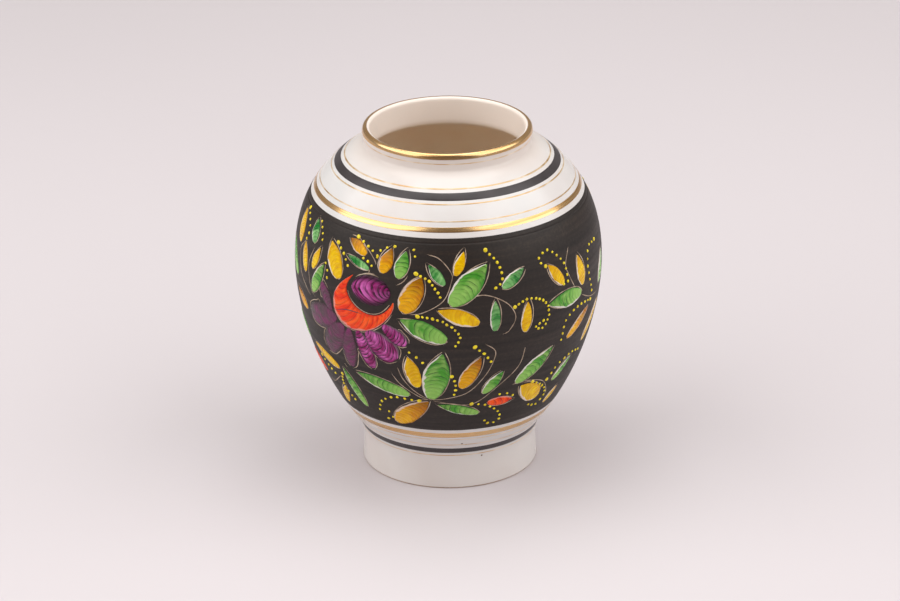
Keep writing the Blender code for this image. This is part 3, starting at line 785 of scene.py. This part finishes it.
# %% Brushed glaze
def brushed_glaze(name, deep, middle, pale, edge, comb, gap=0.0, tip=0.0, root=0.0, spacing=2.2,
    rim=0.98, spread=0.4, heavy=0.82):
    """A stained glaze: deep in the combed strokes, pale where thin, with its own edge colour.

    comb is how dark the strokes are, gap how much white ground shows at the edge, tip how far
    the deep colour floods the tip, root how pale the root is, spacing the strokes' in mm,
    rim where the edge colour starts, spread how much of a stroke stays clear, heavy where
    in the stroke its dark line starts."""
    finish, tree, shader = new_finish(name, IOR=1.5, Specular_IOR_Level=0.22)
    brush = add_node(tree, "UVMap", uv_map="Brush")
    share = add_node(tree, "UVMap", uv_map="Share")
    split = add_node(tree, "SeparateXYZ", {"Vector": share.outputs["UV"]})
    # Pale pools, about 5 mm across.
    wide = add_node(tree, "Mapping", {"Vector": brush.outputs["UV"], "Scale": (0.24, 0.16, 1.0)})
    pools = add_node(tree, "TexNoise", {"Vector": wide.outputs["Vector"], "Scale": 1.0, "Detail": 2.0})
    ground = add_node(tree, "ValToRGB", {"Fac": pools.outputs["Fac"]},
        stops=[(0.4, linear(middle)), (0.65, linear(pale))])
    # The root is laid first and stays smooth and pale. The tip is flooded with stain.
    uneven = add_node(tree, "Math", {0: pools.outputs["Fac"], 1: 0.7, 2: split.outputs["X"]},
        operation="MULTIPLY_ADD")
    at_root = add_node(tree, "MapRange", {"Value": uneven.outputs["Value"], "From Min": 0.55,
        "From Max": 0.8, "To Min": root, "To Max": 0.0})
    rooted = add_node(tree, "Mix", {"Factor": at_root.outputs["Result"],
        "A": ground.outputs["Color"], "B": linear(pale)}, data_type="RGBA")
    at_tip = add_node(tree, "MapRange", {"Value": uneven.outputs["Value"], "From Min": 0.85,
        "From Max": 1.3, "To Min": 0.0, "To Max": tip})
    flooded = add_node(tree, "Mix", {"Factor": at_tip.outputs["Result"],
        "A": rooted.outputs["Result"], "B": linear(deep)}, data_type="RGBA")
    # Combed strokes: each starts with a sharp dark line and fades to the next.
    combed = add_node(tree, "TexWave", {"Vector": brush.outputs["UV"], "Scale": WAVE_UNIT
        / spacing, "Distortion": 4.0, "Detail": 3.0, "Detail Scale": 1.1}, wave_type="BANDS",
        bands_direction="X", wave_profile="SAW")
    stroke = add_node(tree, "ValToRGB", {"Fac": combed.outputs["Fac"]}, stops=[(spread, BLACK),
        (heavy, (0.45, 0.45, 0.45, 1)), (heavy + 0.13, WHITE)])
    # Some strokes press harder than others, and the root is hardly combed.
    hairs = add_node(tree, "Mapping", {"Vector": brush.outputs["UV"], "Scale": (1.1, 0.2, 1.0)})
    press = add_node(tree, "TexNoise", {"Vector": hairs.outputs["Vector"], "Scale": 1.0, "Detail": 3.0})
    pressed = add_node(tree, "MapRange", {"Value": press.outputs["Fac"], "From Min": 0.38,
        "From Max": 0.6, "To Min": 0.2 * comb, "To Max": comb})
    off_root = add_node(tree, "MapRange", {"Value": uneven.outputs["Value"], "From Min": 0.5,
        "From Max": 0.85, "To Min": 1.0 - root, "To Max": 1.0})
    weight = add_node(tree, "Math", {0: pressed.outputs["Result"], 1: off_root.outputs["Result"]},
        operation="MULTIPLY")
    depth = add_node(tree, "Math", {0: stroke.outputs["Color"], 1: weight.outputs["Value"]},
        operation="MULTIPLY")
    painted = add_node(tree, "Mix", {"Factor": depth.outputs["Value"], "A": flooded.outputs[
        "Result"], "B": linear(deep)}, data_type="RGBA")
    # How near the edge: 0 in the middle, 1 at the edge.
    centred = add_node(tree, "Math", {0: split.outputs["Y"], 1: 2.0, 2: -1.0},
        operation="MULTIPLY_ADD")
    nearness = add_node(tree, "Math", {0: centred.outputs["Value"]}, operation="ABSOLUTE")
    ragged = add_node(tree, "Math", {0: pools.outputs["Fac"], 1: 0.5,
        2: nearness.outputs["Value"]}, operation="MULTIPLY_ADD")
    at_rim = add_node(tree, "MapRange", {"Value": ragged.outputs["Value"], "From Min": rim,
        "From Max": rim + 0.3, "To Min": 0.0, "To Max": 0.85})
    edged = add_node(tree, "Mix", {"Factor": at_rim.outputs["Result"], "A": painted.outputs[
        "Result"], "B": linear(edge)}, data_type="RGBA")
    # Bare white ground at one edge, in short runs.
    one_side = add_node(tree, "Math", {0: pools.outputs["Fac"], 1: 0.7,
        2: centred.outputs["Value"]}, operation="MULTIPLY_ADD")
    bare = add_node(tree, "MapRange", {"Value": one_side.outputs["Value"], "From Min": 1.13,
        "From Max": 1.2, "To Min": 0.0, "To Max": gap})
    final = add_node(tree, "Mix", {"Factor": bare.outputs["Result"], "A": edged.outputs["Result"],
        "B": linear("E9E2DC")}, data_type="RGBA")
    gloss = add_node(tree, "MapRange", {"Value": press.outputs["Fac"], "From Min": 0.3,
        "From Max": 0.7, "To Min": 0.18, "To Max": 0.34})
    relief = add_node(tree, "Math", {0: combed.outputs["Fac"], 1: press.outputs["Fac"]},
        operation="MULTIPLY")
    bump = add_node(tree, "Bump", {"Height": relief.outputs["Value"], "Strength": 0.4,
        "Distance": 0.35 * MM})
    tree.links.new(final.outputs["Result"], shader.inputs["Base Color"])
    tree.links.new(gloss.outputs["Result"], shader.inputs["Roughness"])
    tree.links.new(bump.outputs["Normal"], shader.inputs["Normal"])
    return finish


# A wave texture repeats every 0.314 / scale units, so this over a spacing in mm is its scale.
WAVE_UNIT = 0.314
GLAZES = {"yellow": brushed_glaze("brushed_yellow_glaze", "B46A00", "E0AC00", "F8D204", "C89008",
    0.45, gap=0.8, tip=0.3), "green": brushed_glaze("brushed_green_glaze", "083C12", "4C9C30",
    "96C862", "2A7A2A", 1.0, gap=0.9, tip=0.3, root=0.8, spacing=2.6), "leaf_green": brushed_glaze(
    "deep_green_glaze", "063814", "1C7E2E", "98D284", "0E5A1A", 0.9, gap=1.0, tip=0.35, root=0.4),
    "ochre": brushed_glaze("brushed_ochre_glaze", "6E3200", "D08600", "F2B80C", "945006", 0.7,
    gap=0.6, tip=0.75, root=0.6), "red": brushed_glaze("brushed_red_glaze", "7A0C02", "EC340E",
    "FF6420", "BE260C", 0.65, gap=0.3, spacing=3.6), "purple": brushed_glaze("combed_purple_glaze",
    "050204", "8A1862", "DC6CC0", "12060F", 1.0, gap=0.1, spacing=1.9, rim=0.88, spread=0.1,
    heavy=0.62), "heart": brushed_glaze("rose_heart_purple_glaze", "040103", "921A68", "DC6CC0",
    "0A0308", 1.0, tip=0.6, spacing=2.2, rim=0.78, spread=0.1, heavy=0.5), "smoky": brushed_glaze(
    "smoky_purple_glaze", "221A1C", "4C4043", "782E5E", "33292A", 0.65, root=0.4, spacing=2.8,
    rim=0.9)}
print("glazes:", sorted(GLAZES))

# %% The leaves
# Some of the small green leaves got a darker stain.
DEEP_GREEN_LEAVES = (1, 3, 5, 8, 10)
front = {colour: [] for colour in GLAZES}
side = {colour: [] for colour in GLAZES}
for colour, shapes in LEAVES.items():
    for number, shape in enumerate(shapes, start=1):
        node = f"{colour}_leaf_{number}"
        deep = colour == "green" and number in DEEP_GREEN_LEAVES
        glaze = "leaf_green" if deep else colour
        piece = lay_leaf(node + "_glaze", shape, GLAZES[glaze])
        settle(piece, colour + "_glaze", node)
        front[glaze].append(piece)
for colour, shapes in SIDE_LEAVES.items():
    for number, shape in enumerate(shapes, start=1):
        side[colour].append(lay_leaf(f"side_{colour}_{number}", shape, GLAZES[colour]))
print("front leaves:", sum(len(v) for v in front.values()))


# %% Smooth paths
def between(a, b, c, d, t):
    """A Catmull-Rom curve: the value a share t of the way from b to c."""
    bend = (2 * a - 5 * b + 4 * c - d) * t * t + (3 * b - a - 3 * c + d) * t**3
    return 0.5 * (2 * b + (c - a) * t + bend)


def smooth_path(points, count):
    """Evenly spaced places on a smooth curve through these points."""
    ends = [tuple(2 * a - b for a, b in zip(points[0], points[1]))]
    tail = [tuple(2 * a - b for a, b in zip(points[-1], points[-2]))]
    knots = ends + list(points) + tail
    fine = []
    for p0, p1, p2, p3 in zip(knots, knots[1:], knots[2:], knots[3:]):
        for t in steps(0.0, 1.0, 24)[:-1]:
            fine.append(tuple(between(*four, t) for four in zip(p0, p1, p2, p3)))
    fine.append(tuple(points[-1]))
    lengths = [0.0]
    for (a1, r1), (a2, r2) in zip(fine, fine[1:]):
        across, up = field_scale((r1 + r2) / 2)
        lengths.append(lengths[-1] + math.hypot((a2 - a1) * across, (r2 - r1) * up))
    placed, i = [], 0
    for wanted in steps(0.0, lengths[-1], max(count - 1, 1)):
        while i < len(fine) - 2 and lengths[i + 1] < wanted:
            i += 1
        part = (wanted - lengths[i]) / max(lengths[i + 1] - lengths[i], 1e-9)
        placed.append(tuple(a + (b - a) * part for a, b in zip(fine[i], fine[i + 1])))
    return placed, lengths[-1]


# %% [markdown]
# ## The rose
# Seven outer petals lie round a red cup, and the dark heart sits in the cup's mouth. The cup is
# the crescent between two smooth edges, and the heart is an oval combed in arcs.

# %% Rose petals, cup and heart
BRIGHT_PETALS = ("rose_petal_lower_right", "rose_petal_right", "rose_petal_bottom_slim")
for node, *shape in ROSE_PETALS:
    glaze = "purple" if node in BRIGHT_PETALS else "smoky"
    piece = lay_leaf(node + "_glaze", shape, GLAZES[glaze], PETAL_SKEW, PETAL_FULLNESS, 0.4)
    settle(piece, "purple_glaze", node)
    front[glaze].append(piece)


CUP_STEPS = 61
CUP_OUTER_EDGE, _ = smooth_path(CUP_OUTSIDE, CUP_STEPS)
CUP_INNER_EDGE, _ = smooth_path(CUP_INSIDE, CUP_STEPS)


def along_edge(edge, share):
    """The place at this share of the way along an evenly stepped edge."""
    position = min(max(share, 0.0), 0.9999) * (len(edge) - 1)
    i = int(position)
    return tuple(a + (b - a) * (position - i) for a, b in zip(edge[i], edge[i + 1]))


def cup_place(along, side):
    """Across the crescent: side 1 is the outer edge and side -1 the inner one."""
    outer, inner = along_edge(CUP_OUTER_EDGE, along), along_edge(CUP_INNER_EDGE, along)
    width = math.sin(math.pi * (0.01 + 0.98 * along)) ** 0.3
    return tuple((o + i) / 2 + (o - i) / 2 * side * width for o, i in zip(outer, inner))


def heart_place(along, side):
    angle = 180.0 - 180.0 * along
    top, bottom = oval_place(ROSE_HEART, angle), oval_place(ROSE_HEART, -angle)
    return tuple((t + b) / 2 + (t - b) / 2 * side for t, b in zip(top, bottom))


cup = lay_blank("rose_cup_glaze", GLAZES["red"], cup_place, 0.5, lambda along: (70.0, 4.5))
settle(cup, "red_glaze", "rose_cup_petal")
# A dark fold crosses the cup.
FOLD_STEPS = 21
fold_path, _ = smooth_path(CUP_FOLD, FOLD_STEPS)


def fold_place(along, side):
    azimuth, rise = along_edge(fold_path, along)
    return azimuth, rise + side * 0.35 * math.sin(math.pi * (0.02 + 0.96 * along))


fold = lay_blank("rose_cup_fold", GLAZES["smoky"], fold_place, 0.6, lambda along: (16.0, 0.35))
settle(fold, "red_glaze")
front["smoky"].append(fold)
front["red"].append(cup)
heart = lay_blank("rose_heart_glaze", GLAZES["heart"], heart_place, 0.5, lambda along: (21.0, 7.0), -0.11)
settle(heart, "purple_glaze", "rose_heart")
front["heart"].append(heart)
print("rose laid")

# %% [markdown]
# ## Dots and scratched lines
# Short runs of raised yellow dots follow the leaves. Each run is given by a few points and a
# count, and a smooth curve through them spaces the dots. The vines and the outlines are
# scratched through the slip with a needle, so the pale clay shows in lines half a
# millimetre wide. They are thin round threads, sunk so that only a narrow strip of each shows,
# and a thread that gets thinner fades out as a real scratch does.


# %% The dots
# Each run: how many dots, and the points its curve goes through.
DOT_RUNS = [(4, [(-61, 104.5), (-58, 100.5), (-57, 97)]), (6, [(-75.5, 105.5), (-69.5, 100),
    (-68, 95.5), (-69, 92.5)]), (3, [(-52.5, 87.5), (-51, 84.5), (-51, 80.5)]),
    (5, [(-47.5, 99.5), (-43.5, 95.5), (-40.5, 90.5)]), (5, [(-38, 105), (-32, 101.5),
    (-28, 98.5)]), (3, [(-34, 96), (-32, 95), (-30, 93.5)]), (4, [(-28, 98), (-26.5, 102),
    (-21.5, 104)]), (2, [(-13.5, 103.5), (-13, 100.5)]), (8, [(-12, 92.5), (-7, 89), (-3, 81.5)]),
    (13, [(-11.5, 71), (-4, 69.5), (1.5, 65), (4, 60), (2.5, 55)]), (9, [(14.5, 103), (19, 96),
    (20, 88), (17.5, 84.5)]), (19, [(24.5, 73), (30, 76), (37, 73), (39.5, 65.5), (37.5, 58.5),
    (33.5, 59.5), (37, 62)]), (13, [(39, 90), (36, 94), (41, 97), (47.5, 89.5), (49.5, 79),
    (47, 77.5)]), (10, [(72.5, 89), (65.5, 88.5), (63.5, 79), (67, 64.5)]),
    (11, [(66.5, 60), (57.5, 61.5), (49.5, 57.5), (48, 46.5)]), (5, [(9.5, 54), (13.5, 49),
    (16, 44.5)]), (5, [(1, 37), (2.5, 31), (2, 25.5)]), (3, [(-15, 50.5), (-12.5, 48), (-10, 45)]),
    (9, [(-13, 20.5), (-24, 21), (-31.5, 16), (-34, 10)]), (3, [(-29, 10), (-28, 6.5),
    (-31, 4.5)]), (11, [(9.5, 18.5), (16, 17), (23, 10.5), (24, 5), (19, 3.5), (16.5, 6)]),
    (3, [(21.5, 23), (25, 22.5), (28, 20.5)]), (11, [(37, 26), (43.5, 21), (47.5, 14.5), (44, 8.5),
    (39, 10.5)]), (9, [(45.5, 24), (50, 31), (58, 34), (65, 32.5)]),
    (5, [(-65, 30.5), (-61.5, 26.5), (-57, 23.5)]), (8, [(-51, 26), (-53, 18), (-49.5, 10.5)])]
bpy.ops.object.select_all(action="DESELECT")
bpy.ops.mesh.primitive_uv_sphere_add(segments=10, ring_count=6, radius=1.0)
dot_blank = bpy.context.object
bpy.ops.object.mode_set(mode="EDIT")
bpy.ops.mesh.select_all(action="SELECT")
bpy.ops.mesh.bisect(plane_co=(0, 0, -0.2), plane_no=(0, 0, 1), clear_inner=True, use_fill=True)
bpy.ops.mesh.select_all(action="SELECT")
bpy.ops.mesh.normals_make_consistent(inside=False)
bpy.ops.object.mode_set(mode="OBJECT")


def join(pieces, name):
    """Join pieces into one, each with its own mesh before."""
    bpy.ops.object.select_all(action="DESELECT")
    for piece in pieces:
        piece.select_set(True)
    bpy.context.view_layer.objects.active = pieces[0]
    bpy.ops.object.join()
    pieces[0].name = name
    return pieces[0]


# Opaque yellow enamel, dropped on wet: glassy, a little greener than the leaves.
dot_enamel, tree, shader = new_finish("yellow_dot_enamel", Roughness=0.25, IOR=1.52)
where = add_node(tree, "TexCoord")
drop = add_node(tree, "TexNoise", {"Vector": where.outputs["Object"], "Scale": 260.0,
    "Detail": 2.0})
tint = add_node(tree, "ValToRGB", {"Fac": drop.outputs["Fac"]}, stops=[(0.35, linear("D9BE0E")),
    (0.65, linear("F6E21A"))])
tree.links.new(tint.outputs["Color"], shader.inputs["Base Color"])

# A longer run starts with a bigger dot. Radii in mm.
DOT_RADIUS, END_DOT_RADIUS = (0.6, 0.8), 1.05
dice = random.Random(7)
dots = []
for count, points in DOT_RUNS:
    places, _ = smooth_path(points, count)
    for number, (azimuth, rise) in enumerate(places):
        end_dot = number == 0 and count > 4
        radius = END_DOT_RADIUS if end_dot else dice.uniform(*DOT_RADIUS)
        azimuth += dice.uniform(-0.15, 0.15)
        rise += dice.uniform(-0.15, 0.15)
        across, up = field_scale(rise)
        long, lean = dice.uniform(1.0, 1.25), dice.uniform(0, math.pi)
        dot = bpy.data.objects.new("dot", dot_blank.data.copy())
        bpy.context.scene.collection.objects.link(dot)
        for vertex in dot.data.vertices:
            x, y, z = vertex.co
            dx = radius * (x * long * math.cos(lean) - y * math.sin(lean))
            dy = radius * (x * long * math.sin(lean) + y * math.cos(lean))
            vertex.co = on_pot(azimuth + dx / across, rise + dy / up, SLIP_PROUD + 0.45 * z)
        dots.append(dot)
yellow_dots = join(dots, "yellow_dots")
yellow_dots.data.materials.clear()
yellow_dots.data.materials.append(dot_enamel)
make_active(yellow_dots)
bpy.ops.object.shade_smooth_by_angle(angle=math.radians(60))
print("dots:", len(dots), "faces:", len(yellow_dots.data.polygons))

# %% The scratched lines
VINES = [[(-9, 102), (-3.5, 100), (1, 93.5), (1, 89), (-2, 79.5), (-9.5, 73), (-15, 71.5)],
    [(-15, 91.5), (-17, 88), (-20, 85.5)], [(6, 80.5), (13.5, 81.5), (21.5, 76), (25, 68),
    (22.5, 61), (20, 59.5)], [(52.5, 95.5), (49, 87), (50.5, 80.5), (54, 72)], [(58, 67), (64, 63),
    (69, 61), (74, 60.5)], [(13, 55.5), (17, 51.5), (17.5, 47), (14.5, 37), (7.5, 26.5),
    (-2.5, 22.5), (-8, 22)], [(30, 50.5), (28, 39), (20.5, 29), (11.5, 19.5), (4, 18.5),
    (-8, 21.5)], [(-8, 22), (-11, 23.5), (-15.5, 28), (-19, 34.5), (-20.5, 41)],
    [(-8, 21.5), (-13, 23.5), (-20, 30), (-23.5, 36.5)], [(25.5, 27.5), (33, 28), (43, 24),
    (48.5, 15), (47.5, 13.5)], [(-39, 104), (-33, 101), (-28.5, 95.5), (-28.5, 93)], [(-31, 89.5),
    (-30.5, 91.5)], [(-34.5, 88), (-31, 89.5), (-27.5, 89.5)], [(-61, 92), (-64, 81.5), (-62, 70),
    (-59, 66.5)], [(-68.5, 92), (-73.5, 85.5), (-71.5, 74.5), (-65.5, 68), (-62, 65)],
    [(-68, 16), (-62.5, 16), (-52, 24.5)], [(-47, 34.5), (-45.5, 32)]]
THREAD = 0.5
THREAD_SUNK = 0.45
POINT_SPACING = 1.6

curve_data = bpy.data.curves.new("scratched_lines", "CURVE")
curve_data.dimensions = "3D"
curve_data.bevel_depth = THREAD * MM
curve_data.bevel_resolution = 4
curve_data.use_fill_caps = True


def scratch(points, strength=1.0):
    """Add one scratched line that fades at both ends."""
    _, length = smooth_path(points, 2)
    count = max(5, round(length / POINT_SPACING))
    places, _ = smooth_path(points, count)
    spline = curve_data.splines.new("POLY")
    spline.points.add(len(places) - 1)
    for number, (point, (azimuth, rise)) in enumerate(zip(spline.points, places)):
        from_end = min(number, len(places) - 1 - number)
        fade = min(1.0, 0.88 + 0.06 * from_end)
        uneven = dice.uniform(-0.025, 0.03)
        point.co = (*on_pot(azimuth, rise, SLIP_PROUD - THREAD_SUNK), 1.0)
        point.radius = fade * strength + uneven


for points in VINES:
    scratch(points)
all_shapes = [(s, LEAF_SKEW, LEAF_FULLNESS) for v in (LEAVES, SIDE_LEAVES) for c in v.values() for s in c]
all_shapes += [(s, PETAL_SKEW, PETAL_FULLNESS) for _, *s in ROSE_PETALS]
for shape, skew, fullness in all_shapes:
    length = leaf_length(shape)
    tip_tail = dice.uniform(1.2, 2.4) / length
    shift = dice.choice((-0.5, 0.5)) * dice.uniform(0.5, 1.0)
    room = dice.uniform(0.0, 0.2)
    points = []
    for edge_side in (1, -1):
        rows = steps(0.0 if skew < 1 else 0.45, 1.0, 7 if skew < 1 else 5)
        for along in rows[::-1] if edge_side == 1 else rows:
            half = shape[4] / 2 * half_share(along, skew, fullness) + room
            stretched = -room / length + along * (1 + room / length + tip_tail)
            if along == 1.0:
                half = 0.15
            if along == 0.0:
                half *= 0.6
            points.append(leaf_place(shape, stretched, edge_side * half + shift))
    scratch(points)
scratch([(azimuth, rise - 0.4) for azimuth, rise in CUP_OUTER_EDGE[20::6]], 0.98)
scratch([(azimuth, rise + 0.5) for azimuth, rise in CUP_INNER_EDGE[12::6]], 0.98)
scratch([oval_place(ROSE_HEART, a, 0.6) for a in steps(60, 150, 5)], 0.96)

lines = bpy.data.objects.new("scratched_lines", curve_data)
bpy.context.scene.collection.objects.link(lines)
make_active(lines)
bpy.ops.object.convert(target="MESH")
lines = bpy.context.object
bpy.ops.object.shade_smooth()
# Bare clay in a scratch: matt beige, uneven because the needle skips.
scratched_clay, tree, shader = new_finish("scratched_clay", Roughness=0.7, IOR=1.5)
where = add_node(tree, "TexCoord")
skip = add_node(tree, "TexNoise", {"Vector": where.outputs["Object"], "Scale": 260.0,
    "Detail": 3.0})
tint = add_node(tree, "ValToRGB", {"Fac": skip.outputs["Fac"]}, stops=[(0.3, linear("7A6858")),
    (0.5, linear("B09A84")), (0.7, linear("CDBBA6"))])
tree.links.new(tint.outputs["Color"], shader.inputs["Base Color"])
lines.data.materials.clear()
lines.data.materials.append(scratched_clay)
print("line faces:", len(lines.data.polygons))

# %% [markdown]
# ## The far side
# The back is a guess: the same spray again. So the leaves, petals, dots and lines are copied,
# turned half way round, and joined by colour.


# %% The spray on the back
def turned_copy(piece):
    other = bpy.data.objects.new(piece.name + "_turned", piece.data.copy())
    bpy.context.scene.collection.objects.link(other)
    other.data.transform(Matrix.Rotation(math.pi, 4, "Z"))
    return other


SLOT_OF = {"smoky": "purple_glaze", "heart": "purple_glaze", "leaf_green": "green_glaze"}
for colour in GLAZES:
    pieces = side[colour] + [turned_copy(p) for p in front[colour] + side[colour]]
    if not pieces:
        continue
    spray = join(pieces, f"far_side_{colour}_glaze")
    settle(spray, SLOT_OF.get(colour, colour + "_glaze"))
for piece, slot in ((yellow_dots, "yellow_glaze"), (lines, "white_glaze")):
    other = turned_copy(piece)
    other.name = "far_side_" + piece.name
    settle(other, slot)
    settle(piece, slot)
for spare in (blank, dot_blank):
    bpy.data.objects.remove(spare)
